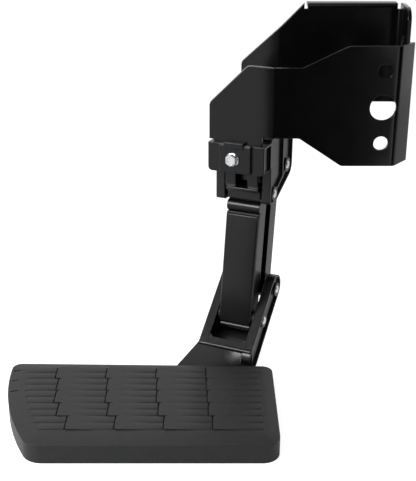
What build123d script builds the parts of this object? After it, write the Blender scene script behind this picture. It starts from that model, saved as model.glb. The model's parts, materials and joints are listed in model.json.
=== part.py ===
from build123d import *
import os
from math import atan2, cos, degrees, radians, sin, sqrt

# Retractable bed step: a moulded tread pad on a folding linkage under a two-plate bracket.
# Frame: the origin is the middle hole of the front plate, on its front face. X runs right along
# the pad, Y runs back to the vehicle and Z runs up. The step is shown folded out.

# Linkage: where the upper front pivot lies, how the hinge is turned, and the four pivots
hinge_x = -154.5
hinge_y = 52.6
hinge_z = -119.5
hinge_yaw = 23.8
arm_length = 167.7
arm_lean = 9.3
link_run = 46.0
link_rise = 25.0

# Pivot pins and bushes
pin_r = 5.0
pin_fit = 0.02
pin_stand_out = 0.8
pin_chamfer = 0.8
bush_wall = 2.0
bush_flange_r = 9.5
bush_flange_t = 2.6
bush_length = 12.0
bush_play = 0.05

# Castings that carry the pins
cheek_gap = 50.0
cheek_t = 11.5
pocket_depth = 3.0
rim_w = 2.6
boss_r = 9.0

# Upper hinge housing, in the hinge frame
housing_front = -16.0
housing_back = 63.5
housing_top = 74.0
front_pivot_wall = 12.0
rear_pivot_wall = 17.0
toe_r = 4.0
toe_drop = 7.0
roof_low = 43.0
roof_t = 8.0
back_wall_t = 8.5
diagonal_rib_t = 3.0
upright_rib_at = 28.5

# Clamp flange at the front of the housing
flange_front = -41.5
flange_low = 34.5
flange_high = 70.5
flange_floor = 3.3
panel_left = -21.3
panel_right = 19.3
panel_proud = 1.5
panel_margin = 1.5
lug_gap = 0.3
groove_w = 3.9
groove_depth = 2.0
lug_left = -15.0
lug_right = 10.0
lug_low = 66.0
lug_high = 73.0
lug_proud = 1.5
stop_rib_in = 8.0
stop_rib_out = 21.5
stop_rib_t = 6.0
stop_rib_low = 13.0
bumper_t = 3.0
bumper_inset = 0.5
stop_gap = 0.3

# Clamp bolts
bolt_r = 4.0
bolt_clearance = 0.3
bolt_length = 22.0
bolt_head_h = 5.5
bolt_head_af = 13.0
bolt_washer_r = 8.4
bolt_washer_t = 1.6
front_bolt_across = -4.0
front_bolt_up = 52.0
rear_bolt_left = -24.0
rear_bolt_right = 4.0
rear_bolt_up = 62.0
rear_bolt_length = 12.0

# Bracket plates
sheet_t = 4.5
plate_reach = 260.0
bend_r = 7.0
tongue_half = 31.0
tongue_play = 0.15
front_plate_left = -37.0
front_plate_low = -46.0
front_plate_shoulder = -2.2
front_plate_step_x = -158.0
front_plate_step_z = 46.8
front_plate_rise_x = -95.6
front_plate_top_x = -42.9
front_plate_top = 72.0
front_plate_bottom = -71.0
front_plate_foot_x = -46.0
front_plate_arch_x = -97.0
front_plate_arch_z = -37.0
front_plate_right = 16.0
turned_edge_length = 31.0
turned_edge_angle = 52.0
frame_hole_r = 8.75
frame_hole_pitch = 43.0
access_hole_r = 15.5
plate_corner_r = 8.0
rear_plate_left = -36.5
rear_plate_tip = 28.5
rear_plate_peak_x = -86.0
rear_plate_top = 105.5
rear_plate_low = -18.0
rear_plate_bend_across = 15.2
rear_plate_right = 33.0
rear_plate_tongue_low = 46.0
rear_plate_arch_x = -62.0
rear_flange_reach = 50.0
rear_flange_low = 20.0
rear_flange_hole_r = 8.5
rear_flange_corner_r = 16.0
top_fold_depth = 18.0
fold_r = 7.0
relief_w = 4.0

# Swinging arms, in each arm's own frame
arm_width = 44.0
front_eye_r = 13.0
front_arm_front = 10.0
front_arm_back = 12.0
front_face_top = 28.0
front_face_end = 2.0
roll_r = 7.5
roll_down = 20.0
roll_forward = 5.0
heel_front = 21.0
heel_back = 4.0
heel_low = 8.0
rear_eye_r = 12.0
rear_arm_front = 11.0
rear_arm_back = 11.0
arm_wall = 6.5
arm_rib_t = 5.0
arm_pocket_end = 24.0
spring_slot = 22.0

# Torsion spring on the rear upper pin
spring_wire_r = 1.2
spring_turns = 5
spring_pitch = 2.9
spring_coil_play = 0.5

# Step carrier, in the hinge frame
carrier_w = 34.0
carrier_low_back = -61.9
carrier_low_up = -202.7
carrier_top_back = 15.4
carrier_top_up = -136.2
window_sill = 11.2
sill_t = 9.0
foot_bend_drop = 9.0
foot_root = 4.0
foot_root_half = 36.0
foot_root_rise = 1.5

# Step pad, from its near right corner at the floor
pad_x = -125.0
pad_y = -216.4
pad_z = -343.0
pad_length = 324.5
pad_depth_right = 173.0
pad_depth_left = 180.0
pad_left_centre_x = 7.0
pad_left_centre_y = 170.0
pad_height = 25.2
pad_border = 16.0
pad_border_drop = 2.5
pad_near_right_r = 20.0
pad_near_left_r = 26.0
pad_far_right_r = 13.0
pad_far_left_r = 11.0
pad_field_r = 5.0
pad_wall = 4.0
pad_cavity = 16.0
tread_near = 28.0
tread_pitch = 13.9
tread_ridge = 11.6
tread_rows = 10
tread_tile_share = 0.2215
tread_high = 1.8
tread_low = 0.5
tread_sunk = 0.4
slot_l = 8.0
slot_w = 2.2
slot_depth = 1.4
slot_rows = (112.0, 137.0, 160.0)

# Frame under the pad, foot of the carrier and their fasteners
frame_t = 4.0
frame_play = 2.0
frame_hole_w = 38.0
frame_hole_d = 52.0
frame_hole_r_corner = 8.0
frame_holes = ((-215.0, 52.0), (-215.0, 122.0), (-80.0, 50.0))
foot_t = 6.5
foot_left = -125.0
foot_right = -24.0
foot_back = 182.0
foot_reach = 84.0
foot_corner_r = 10.0
foot_notch_play = 3.0
foot_bolt_r = 3.0
foot_bolt_head_r = 6.0
foot_bolt_head_h = 3.5
foot_bolt_pitch_x = 70.0
foot_bolt_pitch_y = 44.0
screw_r = 2.0
screw_head_r = 4.5
screw_head_h = 2.5
screw_bite = 5.0
screw_near = 26.0
screw_far = 140.0
screw_xs = (-270.0, -150.0, -14.0)

# Planes of the hinge: side looks across it, face looks from the front, level looks from above
up = Vector(0, 0, 1)
across = Vector(cos(radians(hinge_yaw)), -sin(radians(hinge_yaw)), 0)
back = Vector(sin(radians(hinge_yaw)), cos(radians(hinge_yaw)), 0)
hinge = Vector(hinge_x, hinge_y, hinge_z)
side = Plane(hinge, x_dir=back, z_dir=across)
face = Plane(hinge, x_dir=across, z_dir=-back)
level = Plane(hinge, x_dir=across, z_dir=up)
pad_base = Plane(Vector(pad_x, pad_y, pad_z))

# Pivots in the side plane: back, up
upper_front = (0.0, 0.0)
upper_rear = (link_run, link_rise)
lower_front = (-arm_length * sin(radians(arm_lean)), -arm_length * cos(radians(arm_lean)))
lower_rear = (lower_front[0] + link_run, lower_front[1] + link_rise)

cheek_in = cheek_gap / 2
cheek_out = cheek_in + cheek_t
arm_half = arm_width / 2
bush_r = pin_r + bush_play + bush_wall
plate_front_b = flange_front + sheet_t
plate_back_b = plate_front_b + sheet_t


def arm_plane(pivot):
    """Side plane of an arm: local Y runs up the arm and local X runs back from it."""
    lean = radians(arm_lean)
    start = side.from_local_coords((pivot[0], pivot[1], 0))
    return Plane(start, x_dir=back * cos(lean) - up * sin(lean), z_dir=across)


def hinge_point(right, behind):
    """A point of the hinge frame, at the height of the upper front pivot."""
    return hinge + across * right + back * behind


def cheek_planes(inner, thickness):
    """The planes on which a slab of each cheek starts, on both sides of the hinge."""
    return side.offset(inner), side.offset(-inner - thickness)


def box_in(low_x, high_x, low_y, high_y, mode=Mode.ADD):
    """A rectangle of the active sketch, given by its limits."""
    with Locations(((low_x + high_x) / 2, (low_y + high_y) / 2)):
        Rectangle(high_x - low_x, high_y - low_y, mode=mode)


def bar_in(start, end, width, mode=Mode.ADD):
    """A straight bar of the active sketch from one point to another."""
    run = Vector(*end) - Vector(*start)
    middle = (Vector(*end) + Vector(*start)) * 0.5
    with Locations(Location((middle.X, middle.Y, 0), (0, 0, degrees(atan2(run.Y, run.X))))):
        Rectangle(run.length, width, mode=mode)


def keep(piece, node):
    """Label a finished piece and write its file."""
    piece.label = node
    export_step(piece, f"parts/{node}.step")


os.makedirs("parts", exist_ok=True)


# Bracket plates
def draw_front_plate_plan():
    """The bent strip seen from above: angled wing, right wing and turned-back edge."""
    wing_b = plate_front_b + sheet_t / 2
    bend_a = (hinge_point(0, wing_b).Y - sheet_t / 2) / sin(radians(hinge_yaw))
    turn = radians(turned_edge_angle)
    start = hinge_point(front_plate_left, wing_b)
    bend = hinge_point(bend_a, wing_b)
    with BuildLine() as centre_line:
        FilletPolyline(
            (start.X, start.Y),
            (bend.X, bend.Y),
            (front_plate_right, sheet_t / 2),
            (front_plate_right + turned_edge_length * cos(turn), sheet_t / 2 + turned_edge_length * sin(turn)),
            radius=bend_r,
        )
    trace(centre_line.edges(), line_width=sheet_t)
    return bend_a


front_tongue_low = hinge_z + flange_low + flange_floor + tongue_play
with BuildPart() as front_plate:
    with BuildSketch(Plane.XY.offset(front_tongue_low)):
        front_bend_a = draw_front_plate_plan()
    extrude(amount=front_plate_top - front_tongue_low)
    front_left_x = hinge_point(front_plate_left, plate_front_b).X
    front_bend_x = hinge_point(front_bend_a, plate_front_b).X
    front_right_x = front_plate_right + turned_edge_length + sheet_t
    with BuildSketch(Plane.XZ):
        with BuildLine():
            Polyline(
                (front_left_x, front_tongue_low),
                (front_left_x, front_plate_shoulder),
                (front_plate_step_x, front_plate_step_z),
                (front_plate_rise_x, front_plate_step_z),
                (front_plate_top_x, front_plate_top),
                (front_right_x, front_plate_top),
                (front_right_x, front_plate_bottom),
                (front_plate_foot_x, front_plate_bottom),
                (front_plate_arch_x, front_plate_arch_z),
                (front_bend_x, front_plate_arch_z),
                (front_bend_x, front_tongue_low),
                close=True,
            )
        make_face()
        outline_corners = vertices().sort_by(Axis.X)
        rounded = [v for v in outline_corners if front_left_x - 1 < v.X < front_right_x - 1 and v.Y > front_tongue_low + 1]
        fillet([v for v in rounded if abs(v.X - front_bend_x) > 1], plate_corner_r)
    extrude(amount=plate_reach, both=True, mode=Mode.INTERSECT)
    with BuildSketch(face.offset(-plate_front_b)):
        box_in(front_plate_left - sheet_t, -tongue_half, 0, front_plate_low - hinge_z)
        box_in(tongue_half, front_bend_a + sheet_t, 0, front_plate_arch_z - hinge_z)
    extrude(amount=-2 * sheet_t, mode=Mode.SUBTRACT)
    with BuildSketch(Plane.XZ):
        with GridLocations(0, 2 * frame_hole_pitch, 1, 2):
            Circle(frame_hole_r)
        Circle(access_hole_r)
    extrude(amount=-2 * sheet_t, mode=Mode.SUBTRACT)
    with BuildSketch(face.offset(-plate_front_b)):
        with Locations((front_bolt_across, front_bolt_up)):
            Circle(bolt_r + bolt_clearance)
    extrude(amount=-2 * sheet_t, mode=Mode.SUBTRACT)
keep(front_plate.part, "front_plate")


rear_wing_y = hinge_point(rear_plate_bend_across, housing_back).Y
rear_tongue_low = hinge_z + rear_plate_tongue_low
rear_edge_x = rear_plate_right + sheet_t
with BuildPart() as rear_plate:
    wing_b = housing_back + sheet_t / 2
    wing_y = rear_wing_y + sheet_t / 2
    bend_a = (hinge_point(0, wing_b).Y - wing_y) / sin(radians(hinge_yaw))
    start = hinge_point(rear_plate_left, wing_b)
    bend = hinge_point(bend_a, wing_b)
    flange_x = rear_plate_right + sheet_t / 2
    with BuildSketch(Plane.XY.offset(rear_tongue_low)):
        with BuildLine():
            FilletPolyline(
                (start.X, start.Y),
                (bend.X, bend.Y),
                (flange_x, wing_y),
                (flange_x, wing_y - rear_flange_reach),
                radius=bend_r,
            )
        trace(line_width=sheet_t)
    extrude(amount=rear_plate_top - rear_tongue_low)
    rear_left_x = hinge_point(rear_plate_left, housing_back).X
    with BuildSketch(Plane.XZ):
        with BuildLine():
            Polyline(
                (rear_left_x, rear_tongue_low),
                (rear_left_x, rear_plate_tip),
                (rear_plate_peak_x, rear_plate_top),
                (rear_edge_x, rear_plate_top),
                (rear_edge_x, rear_plate_low),
                (rear_plate_arch_x, rear_plate_low),
                (bend.X, rear_tongue_low),
                close=True,
            )
        make_face()
        fillet(vertices().group_by(Axis.X)[0].sort_by(Axis.Y)[-1], plate_corner_r)
    extrude(amount=plate_reach, both=True, mode=Mode.INTERSECT)
    with BuildSketch(Plane.YZ.offset(rear_plate_right - bend_r)):
        box_in(rear_wing_y - 2 * rear_flange_reach, rear_wing_y - bend_r, rear_tongue_low, rear_flange_low)
    extrude(amount=2 * bend_r + sheet_t, mode=Mode.SUBTRACT)
    flange_front_edges = edges().filter_by(Axis.X).group_by(Axis.Y)[0]
    fillet(flange_front_edges, rear_flange_corner_r)
    with BuildSketch(Plane.XZ.offset(-rear_wing_y)):
        box_in(rear_plate_peak_x, rear_plate_right, rear_plate_top - sheet_t, rear_plate_top)
    extrude(amount=-top_fold_depth)
    fold_left = rear_plate_peak_x + relief_w
    fold_right = rear_plate_right - relief_w
    with BuildSketch(Plane.YZ.offset(fold_left)):
        box_in(rear_wing_y, rear_wing_y + fold_r, rear_plate_top - fold_r, rear_plate_top)
        with Locations((rear_wing_y + fold_r, rear_plate_top - fold_r)):
            Circle(fold_r, mode=Mode.SUBTRACT)
    extrude(amount=fold_right - fold_left, mode=Mode.SUBTRACT)
    with BuildSketch(Plane.XZ.offset(-rear_wing_y)):
        for notch_x in (rear_plate_peak_x, rear_plate_right - relief_w):
            box_in(notch_x, notch_x + relief_w, rear_plate_top - fold_r, rear_plate_top)
    extrude(amount=2 * top_fold_depth, both=True, mode=Mode.SUBTRACT)
    with BuildSketch(Plane.YZ.offset(rear_plate_right)):
        with Locations((rear_wing_y - rear_flange_reach / 2, (rear_flange_low + rear_plate_top) / 2)):
            Circle(rear_flange_hole_r)
    extrude(amount=2 * sheet_t, both=True, mode=Mode.SUBTRACT)
    with BuildSketch(face.offset(-housing_back)):
        with Locations((rear_bolt_left, rear_bolt_up), (rear_bolt_right, rear_bolt_up)):
            Circle(bolt_r + bolt_clearance)
    extrude(amount=-2 * sheet_t, mode=Mode.SUBTRACT)
keep(rear_plate.part, "rear_plate")


# Upper hinge housing
def draw_housing_cheek():
    """Side view of a cheek: a block above, tapering to the two upper pivots."""
    with Locations(upper_front):
        Circle(front_pivot_wall)
    with Locations(upper_rear):
        Circle(rear_pivot_wall)
    with Locations((housing_front + toe_r, -toe_drop)):
        Circle(toe_r)
    box_in(housing_front, housing_back, roof_low, housing_top)
    make_hull()


with BuildPart() as hinge_housing:
    with BuildSketch(side):
        box_in(flange_front, housing_front, flange_low, flange_high)
    extrude(amount=cheek_out, both=True)
    fillet(edges().filter_by(lambda e: abs(e.tangent_at(0).dot(back)) > 0.99).group_by(Axis.Z)[0], 2 * rim_w)
    with BuildSketch(*cheek_planes(cheek_in, cheek_t)):
        draw_housing_cheek()
    extrude(amount=cheek_t)
    with BuildSketch(side):
        box_in(housing_front, housing_back, roof_low, roof_low + roof_t)
        box_in(housing_back - back_wall_t, housing_back, roof_low, housing_top)
    extrude(amount=cheek_in, both=True)
    with BuildSketch(side):
        box_in(plate_front_b - tongue_play, plate_back_b + tongue_play, flange_low + flange_floor, flange_high)
    extrude(amount=tongue_half + tongue_play, both=True, mode=Mode.SUBTRACT)
    with BuildSketch(*cheek_planes(cheek_out - pocket_depth, pocket_depth)):
        draw_housing_cheek()
        offset(amount=-rim_w, mode=Mode.REPLACE)
        bar_in((upright_rib_at, flange_low), (upright_rib_at, housing_top), diagonal_rib_t, Mode.SUBTRACT)
        bar_in(upper_front, upper_rear, diagonal_rib_t, Mode.SUBTRACT)
        bar_in((upright_rib_at, upper_rear[1] / 2), (upright_rib_at, flange_low), diagonal_rib_t, Mode.SUBTRACT)
        with Locations(upper_front, upper_rear):
            Circle(boss_r, mode=Mode.SUBTRACT)
    extrude(amount=pocket_depth, mode=Mode.SUBTRACT)
    with BuildSketch(*cheek_planes(cheek_out - pocket_depth, pocket_depth)):
        box_in(flange_front + rim_w, housing_front - rim_w, flange_low + rim_w, flange_high - rim_w)
        fillet(vertices(), rim_w / 2)
    extrude(amount=pocket_depth, mode=Mode.SUBTRACT)
    with BuildSketch(face.offset(-flange_front)):
        box_in(panel_left, panel_right, flange_low + panel_margin, flange_high - panel_margin)
    extrude(amount=panel_proud)
    with BuildSketch(face.offset(-flange_front)):
        box_in(panel_right, panel_right + groove_w, flange_low, flange_high)
    extrude(amount=-groove_depth, mode=Mode.SUBTRACT)
    with BuildSketch(face.offset(lug_gap - plate_front_b)):
        box_in(lug_left, lug_right, lug_low, lug_high)
    extrude(amount=plate_front_b - lug_gap - flange_front + panel_proud + lug_proud)
    with BuildSketch(face.offset(-housing_front)):
        for sign in (-1, 1):
            box_in(*sorted((sign * stop_rib_in, sign * stop_rib_out)), stop_rib_low, flange_low)
    extrude(amount=stop_rib_t)
    with BuildSketch(side):
        with Locations(upper_front, upper_rear):
            Circle(pin_r + pin_fit)
    extrude(amount=2 * cheek_out, both=True, mode=Mode.SUBTRACT)
    with BuildSketch(face.offset(-flange_front + panel_proud)):
        with Locations((front_bolt_across, front_bolt_up)):
            Circle(bolt_r + pin_fit)
    extrude(amount=-bolt_length - bolt_clearance, mode=Mode.SUBTRACT)
    with BuildSketch(face.offset(-housing_back)):
        with Locations((rear_bolt_left, rear_bolt_up), (rear_bolt_right, rear_bolt_up)):
            Circle(bolt_r + pin_fit)
    extrude(amount=rear_bolt_length, mode=Mode.SUBTRACT)
keep(hinge_housing.part, "hinge_housing")

with BuildPart() as stop_bumpers:
    with BuildSketch(face.offset(-housing_front + bumper_inset)):
        for sign in (-1, 1):
            inner, outer = sorted((sign * (stop_rib_in + bumper_inset), sign * (stop_rib_out - bumper_inset)))
            box_in(inner, outer, stop_rib_low - bumper_t, stop_rib_low)
    extrude(amount=stop_rib_t - 2 * bumper_inset)
keep(stop_bumpers.part, "stop_bumpers")


def add_flange_bolt(seat, length):
    """Hex flange bolt in the active part: the seat plane's normal points out of the head."""
    with BuildSketch(seat) as washer:
        Circle(bolt_washer_r)
    extrude(washer.sketch, amount=bolt_washer_t)
    with BuildSketch(seat.offset(bolt_washer_t)) as head:
        RegularPolygon(bolt_head_af / 2, 6, major_radius=False)
    extrude(head.sketch, amount=bolt_head_h)
    with BuildSketch(seat) as shank:
        Circle(bolt_r)
    extrude(shank.sketch, amount=-length)


with BuildPart() as front_clamp_bolt:
    bolt_seat = face.offset(-flange_front + panel_proud)
    add_flange_bolt(bolt_seat.shift_origin(bolt_seat.from_local_coords((front_bolt_across, front_bolt_up, 0))), bolt_length)
keep(front_clamp_bolt.part, "front_clamp_bolt")

with BuildPart() as rear_clamp_bolts:
    rear_seat_b = housing_back + sheet_t
    for bolt_a in (rear_bolt_left, rear_bolt_right):
        seat = Plane(hinge_point(bolt_a, rear_seat_b) + up * rear_bolt_up, x_dir=-across, z_dir=back)
        add_flange_bolt(seat, rear_bolt_length)
keep(rear_clamp_bolts.part, "rear_clamp_bolts")


# Pivot pins and bushes
def pivot_pin(pivot):
    """A pin pressed into both cheeks, with its chamfered ends standing out."""
    half = cheek_out + pin_stand_out
    with BuildPart() as pin:
        with BuildSketch(side.offset(-half)):
            with Locations(pivot):
                Circle(pin_r)
        extrude(amount=2 * half)
        chamfer(edges().filter_by(GeomType.CIRCLE), pin_chamfer)
    return pin.part


def bush_pair(pivot):
    """Two flanged bushes pressed into an arm's eye from both sides."""
    with BuildPart() as bushes:
        with BuildSketch(*cheek_planes(arm_half, bush_flange_t)):
            with Locations(pivot):
                Circle(bush_flange_r)
        extrude(amount=bush_flange_t)
        with BuildSketch(*cheek_planes(arm_half - bush_length, bush_length)):
            with Locations(pivot):
                Circle(bush_r)
        extrude(amount=bush_length)
        with BuildSketch(side):
            with Locations(pivot):
                Circle(pin_r + bush_play)
        extrude(amount=cheek_out, both=True, mode=Mode.SUBTRACT)
    return bushes.part


keep(pivot_pin(upper_front), "upper_front_pin")
keep(pivot_pin(upper_rear), "upper_rear_pin")
keep(pivot_pin(lower_front), "lower_front_pin")
keep(pivot_pin(lower_rear), "lower_rear_pin")
keep(bush_pair(upper_front), "front_arm_upper_bushes")
keep(bush_pair(lower_front), "front_arm_lower_bushes")
keep(bush_pair(upper_rear), "rear_arm_upper_bushes")
keep(bush_pair(lower_rear), "rear_arm_lower_bushes")


# Swinging arms
def cut_channel(plane, front_x, back_x):
    """Hollow the back of an arm, leaving side walls, a front wall and one cross rib."""
    middle = -arm_length / 2
    with BuildSketch(plane) as channel:
        box_in(-front_x + arm_wall, back_x, middle + arm_rib_t / 2, -arm_pocket_end)
        box_in(-front_x + arm_wall, back_x, -arm_length + arm_pocket_end, middle - arm_rib_t / 2)
    extrude(channel.sketch, amount=arm_half - arm_wall, both=True, mode=Mode.SUBTRACT)


def bore_eyes(plane):
    """Bore both eyes of an arm for their bushes."""
    with BuildSketch(plane) as bores:
        with Locations((0, 0), (0, -arm_length)):
            Circle(bush_r + pin_fit)
    extrude(bores.sketch, amount=arm_width, both=True, mode=Mode.SUBTRACT)


front_arm_side = arm_plane(upper_front)
with BuildPart() as front_arm:
    with BuildSketch(front_arm_side):
        with Locations((0, 0), (0, -arm_length)):
            Circle(front_eye_r)
        box_in(-front_arm_front, front_arm_back, -arm_length - front_face_end, -front_face_top)
        box_in(-roll_forward, front_arm_back, -front_face_top, 0)
        with Locations((-roll_forward, -roll_down)):
            Circle(roll_r)
    extrude(amount=arm_half, both=True)
    with BuildSketch(side):
        box_in(-heel_front, -heel_back, -heel_low, stop_rib_low - bumper_t - stop_gap)
    extrude(amount=arm_half, both=True)
    cut_channel(front_arm_side, front_arm_front, front_arm_back)
    bore_eyes(front_arm_side)
keep(front_arm.part, "front_arm")

rear_arm_side = arm_plane(upper_rear)
with BuildPart() as rear_arm:
    with BuildSketch(rear_arm_side):
        with Locations((0, 0), (0, -arm_length)):
            Circle(rear_eye_r)
        box_in(-rear_arm_front, rear_arm_back, -arm_length, 0)
    extrude(amount=arm_half, both=True)
    cut_channel(rear_arm_side, rear_arm_front, rear_arm_back)
    bore_eyes(rear_arm_side)
    with BuildSketch(rear_arm_side):
        box_in(-rear_arm_front + arm_wall, 2 * rear_eye_r, -arm_pocket_end, 0)
        Circle(rear_eye_r + 1)
    extrude(amount=spring_slot / 2, both=True, mode=Mode.SUBTRACT)
keep(rear_arm.part, "rear_arm")


# Torsion spring round the rear upper pin: one leg lies in the rear arm, the other bears on the roof
with BuildPart() as hold_spring:
    coil_r = pin_r + spring_coil_play + spring_wire_r
    coil_h = spring_turns * spring_pitch
    coil_start = side.from_local_coords((upper_rear[0], upper_rear[1], -coil_h / 2))
    coil_base = Plane(coil_start, x_dir=back, z_dir=across)
    with BuildLine() as coil_line:
        Helix(spring_pitch, coil_h, coil_r)
    coil = coil_base.from_local_coords(coil_line.wire())
    with BuildSketch(Plane(coil @ 0, z_dir=coil % 0)) as wire_section:
        Circle(spring_wire_r)
    sweep(wire_section.sketch, path=coil, is_frenet=True)
    spring_leg = roof_low - upper_rear[1] - stop_gap
    for tip, way in ((coil @ 0, -up), (coil @ 1, up)):
        with BuildSketch(Plane(tip, z_dir=way)):
            Circle(spring_wire_r)
        extrude(amount=spring_leg)
keep(hold_spring.part, "hold_spring")


# Step carrier
def draw_carrier_cheek():
    """Side view of a carrier cheek: a straight bar with round ends."""
    with Locations((carrier_low_back, carrier_low_up), (carrier_top_back, carrier_top_up)):
        Circle(carrier_w / 2)
    make_hull()


carrier_run = Vector(carrier_top_back - carrier_low_back, carrier_top_up - carrier_low_up).normalized()
carrier_out = Vector(-carrier_run.Y, carrier_run.X)
foot_bend = Vector(carrier_low_back, carrier_low_up) + carrier_out * (carrier_w / 2)
sill_top = foot_bend + carrier_run * window_sill
foot_top_z = pad_z + pad_cavity - frame_t
foot_bolt_x = pad_x + (foot_left + foot_right) / 2
foot_bolt_y = pad_y + foot_back - foot_reach / 2
foot_back_y = pad_y + foot_back
with BuildPart() as step_carrier:
    with BuildSketch(*cheek_planes(cheek_in, cheek_t)):
        draw_carrier_cheek()
    extrude(amount=cheek_t)
    with BuildSketch(*cheek_planes(cheek_out - pocket_depth, pocket_depth)):
        draw_carrier_cheek()
        offset(amount=-rim_w, mode=Mode.REPLACE)
        with Locations(lower_front, lower_rear):
            Circle(boss_r, mode=Mode.SUBTRACT)
    extrude(amount=pocket_depth, mode=Mode.SUBTRACT)
    with BuildSketch(side):
        with BuildLine():
            inner = carrier_out * -sill_t
            Polyline(foot_bend, sill_top, sill_top + inner, foot_bend + inner, close=True)
        make_face()
    extrude(amount=cheek_in, both=True)
    with BuildSketch(face.offset(-foot_bend.X - foot_root)):
        box_in(-foot_root_half, foot_root_half, foot_bend.Y - foot_bend_drop, foot_bend.Y + foot_root_rise)
    with BuildSketch(Plane.XZ.offset(-foot_back_y)):
        box_in(pad_x + foot_left, pad_x + foot_right, foot_top_z - foot_t, foot_top_z)
    loft(ruled=True)
    with BuildSketch(Plane.XY.offset(foot_top_z - foot_t)):
        box_in(pad_x + foot_left, pad_x + foot_right, foot_back_y - foot_reach, foot_back_y)
        fillet(vertices().group_by(Axis.Y)[0], foot_corner_r)
    extrude(amount=foot_t)
    with BuildSketch(Plane.XY.offset(foot_top_z)):
        with Locations((foot_bolt_x, foot_bolt_y)):
            with GridLocations(foot_bolt_pitch_x, foot_bolt_pitch_y, 2, 2):
                Circle(foot_bolt_r + pin_fit)
    extrude(amount=-foot_t, mode=Mode.SUBTRACT)
    with BuildSketch(side):
        with Locations(lower_front, lower_rear):
            Circle(pin_r + pin_fit)
    extrude(amount=2 * cheek_out, both=True, mode=Mode.SUBTRACT)
keep(step_carrier.part, "step_carrier")


# Step pad
def left_edge_x(y, inset):
    """Where the pad's bowed left edge, moved in by inset, crosses the depth y."""
    radius = pad_length + pad_left_centre_x - inset
    return pad_left_centre_x - sqrt(radius**2 - (y - pad_left_centre_y) ** 2)


def draw_pad_outline(inset):
    """Plan outline of the pad, moved in by inset."""
    near = inset
    far_right = (-inset, pad_depth_right - inset)
    far_left_y = pad_depth_left - inset
    far_left = (left_edge_x(far_left_y, inset), far_left_y)
    near_left = (left_edge_x(near, inset), near)
    middle_y = pad_depth_right / 2
    with BuildLine() as outline:
        Line(near_left, (-inset, near))
        Line((-inset, near), far_right)
        Line(far_right, far_left)
        ThreePointArc(far_left, (left_edge_x(middle_y, inset), middle_y), near_left)
    make_face(outline.edges())
    corners = (
        ((-inset, near), pad_near_right_r),
        (near_left, pad_near_left_r),
        (far_right, pad_far_right_r),
        (far_left, pad_far_left_r),
    )
    for corner, radius in corners:
        fillet(vertices().sort_by_distance((*corner, 0))[0], max(radius - inset, pad_field_r))


def tread_profile(ridge_y):
    """Sawtooth of one tread ridge, from the right border to the left: each tile is high at its left end."""
    right = -pad_border
    left = left_edge_x(ridge_y, pad_border)
    tile = (right - left) * tread_tile_share
    steps = int((right - left) / tile)
    points = [(right, -tread_sunk), (right, tread_low)]
    for step in range(1, steps + 1):
        points += [(right - step * tile, tread_high), (right - step * tile, tread_low)]
    rest = (right - steps * tile - left) / tile
    points += [(left, tread_low + rest * (tread_high - tread_low)), (left, -tread_sunk)]
    return points


with BuildPart() as step_pad:
    with BuildSketch(pad_base):
        draw_pad_outline(0)
    extrude(amount=pad_height - pad_border_drop)
    with BuildSketch(pad_base.offset(pad_height - pad_border_drop)):
        draw_pad_outline(0)
    with BuildSketch(pad_base.offset(pad_height)):
        draw_pad_outline(pad_border)
    loft(ruled=True)
    for row in range(tread_rows):
        ridge_y = tread_near + row * tread_pitch
        with BuildSketch(Plane(pad_base.from_local_coords((0, ridge_y, pad_height)), x_dir=(1, 0, 0), z_dir=(0, -1, 0))):
            with BuildLine():
                Polyline(*tread_profile(ridge_y), close=True)
            make_face()
        extrude(amount=-tread_ridge)
    with BuildSketch(pad_base):
        draw_pad_outline(pad_wall)
    extrude(amount=pad_cavity, mode=Mode.SUBTRACT)
    with BuildSketch(pad_base):
        box_in(foot_left - foot_notch_play, foot_right + foot_notch_play, pad_depth_right / 2, 2 * pad_depth_left)
    extrude(amount=pad_cavity - frame_t + pin_fit, mode=Mode.SUBTRACT)
    with BuildSketch(pad_base.offset(pad_cavity)):
        with Locations(*[(x, y) for x in screw_xs for y in (screw_near, screw_far)]):
            Circle(screw_r + pin_fit)
    extrude(amount=screw_bite + pin_fit, mode=Mode.SUBTRACT)
keep(step_pad.part, "step_pad")

with BuildPart() as step_frame:
    with BuildSketch(pad_base.offset(pad_cavity - frame_t)):
        draw_pad_outline(pad_wall + frame_play)
        with Locations(*frame_holes):
            RectangleRounded(frame_hole_w, frame_hole_d, frame_hole_r_corner, mode=Mode.SUBTRACT)
        with Locations(*[(x, y) for x in screw_xs for y in (screw_near, screw_far)]):
            Circle(screw_r + pin_fit, mode=Mode.SUBTRACT)
        with Locations((foot_bolt_x - pad_x, foot_bolt_y - pad_y)):
            with GridLocations(foot_bolt_pitch_x, foot_bolt_pitch_y, 2, 2):
                Circle(foot_bolt_r + pin_fit, mode=Mode.SUBTRACT)
    extrude(amount=frame_t)
keep(step_frame.part, "step_frame")

with BuildPart() as foot_bolts:
    with BuildSketch(Plane.XY.offset(foot_top_z - foot_t)):
        with Locations((foot_bolt_x, foot_bolt_y)):
            with GridLocations(foot_bolt_pitch_x, foot_bolt_pitch_y, 2, 2):
                RegularPolygon(foot_bolt_head_r, 6)
    extrude(amount=-foot_bolt_head_h)
    with BuildSketch(Plane.XY.offset(foot_top_z - foot_t)):
        with Locations((foot_bolt_x, foot_bolt_y)):
            with GridLocations(foot_bolt_pitch_x, foot_bolt_pitch_y, 2, 2):
                Circle(foot_bolt_r)
    extrude(amount=foot_t + frame_t)
keep(foot_bolts.part, "foot_bolts")

with BuildPart() as pad_screws:
    screw_places = [(x, y) for x in screw_xs for y in (screw_near, screw_far)]
    with BuildSketch(pad_base.offset(pad_cavity - frame_t)):
        with Locations(*screw_places):
            Circle(screw_head_r)
    extrude(amount=-screw_head_h)
    with BuildSketch(pad_base.offset(pad_cavity - frame_t)):
        with Locations(*screw_places):
            Circle(screw_r)
    extrude(amount=frame_t + screw_bite)
keep(pad_screws.part, "pad_screws")
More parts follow.
